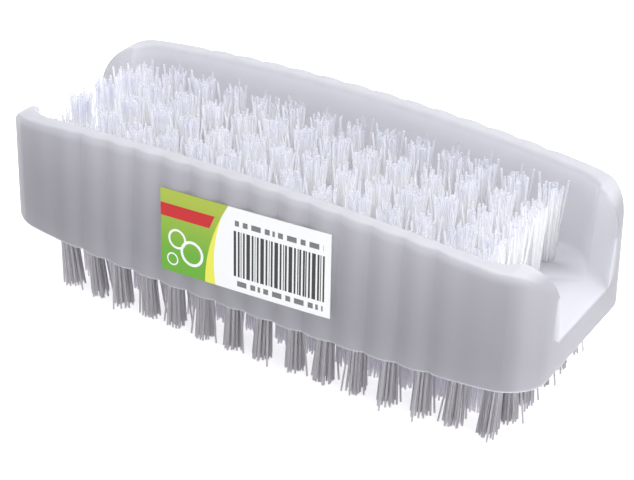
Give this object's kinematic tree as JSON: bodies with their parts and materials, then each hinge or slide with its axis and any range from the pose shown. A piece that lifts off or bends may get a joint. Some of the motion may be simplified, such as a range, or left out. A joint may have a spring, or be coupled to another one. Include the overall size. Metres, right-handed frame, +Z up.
{
  "type": "nail brush",
  "caption": "Double-sided nail brush: long channel-shaped white plastic body with fluted grip walls, open ends, and tufts of bristle inside the channel and under its floor.",
  "frame": {"origin": "on the surface that the brush stands on, at the tips of the lower bristles, under the middle of the moulding", "axes": "+X along the length, +Z up out of the channel, -Y towards the side that carries the label"},
  "size_m": [0.0952, 0.0408, 0.0331],
  "materials": {
    "body": "moulded polypropylene, satin gloss, slightly lavender white",
    "upper_bristle": "translucent white nylon filament",
    "lower_bristle": "translucent white nylon filament, in shade",
    "anchor_wire": "drawn flat wire",
    "label": "printed film, green band on white, no words"
  },
  "bodies": {
    "root": {"body": "body", "label": "label", "upper_tufts_row_1": "upper_bristle", "upper_tufts_row_2": "upper_bristle", "upper_tufts_row_3": "upper_bristle", "upper_tufts_row_4": "upper_bristle", "upper_tufts_row_5": "upper_bristle", "lower_tufts_row_1": "lower_bristle", "lower_tufts_row_2": "lower_bristle", "lower_tufts_row_3": "lower_bristle", "lower_tufts_row_4": "lower_bristle", "lower_tufts_row_5": "lower_bristle", "lower_tufts_row_6": "lower_bristle", "upper_anchors_row_1": "anchor_wire", "upper_anchors_row_2": "anchor_wire", "upper_anchors_row_3": "anchor_wire", "upper_anchors_row_4": "anchor_wire", "upper_anchors_row_5": "anchor_wire", "lower_anchors_row_1": "anchor_wire", "lower_anchors_row_2": "anchor_wire", "lower_anchors_row_3": "anchor_wire", "lower_anchors_row_4": "anchor_wire", "lower_anchors_row_5": "anchor_wire", "lower_anchors_row_6": "anchor_wire"}
  },
  "joints": []
}
